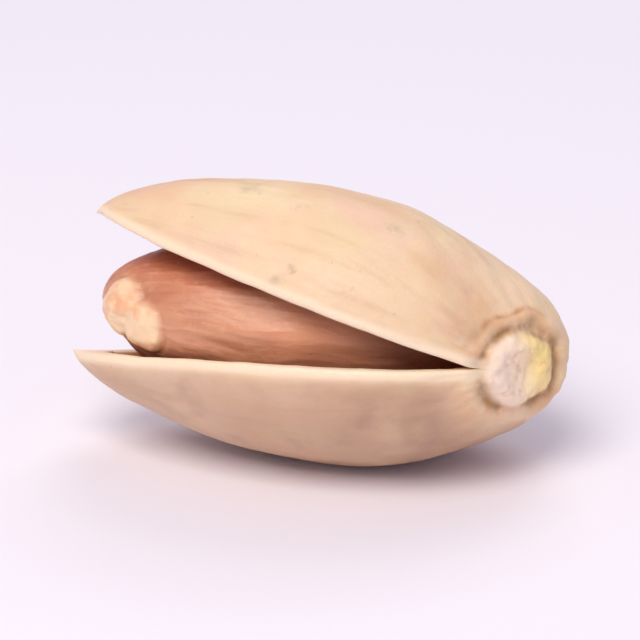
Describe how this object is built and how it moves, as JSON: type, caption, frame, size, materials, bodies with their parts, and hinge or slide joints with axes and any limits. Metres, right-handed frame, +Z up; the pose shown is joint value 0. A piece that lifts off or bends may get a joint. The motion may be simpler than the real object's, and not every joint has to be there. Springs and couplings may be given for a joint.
{
  "type": "pistachio in shell",
  "caption": "Roasted pistachio nut lying on its lower half-shell: a pale hard shell split open from the tip towards the stem end, with the loose kernel inside.",
  "frame": {"origin": "on the ground, under the middle of the nut's box", "axes": "+X along the nut from the split tip to the stem end, +Z up as the nut lies, -Y the side where the split runs furthest"},
  "size_m": [0.0222, 0.0124, 0.0124],
  "materials": {
    "shell": "dry, smooth, pale woody nutshell with faint ribs from the stem scar",
    "kernel": "wrinkled papery seed skin, satin with an oily glint"
  },
  "bodies": {
    "root": {"shell": "shell", "kernel": "kernel"}
  },
  "joints": []
}
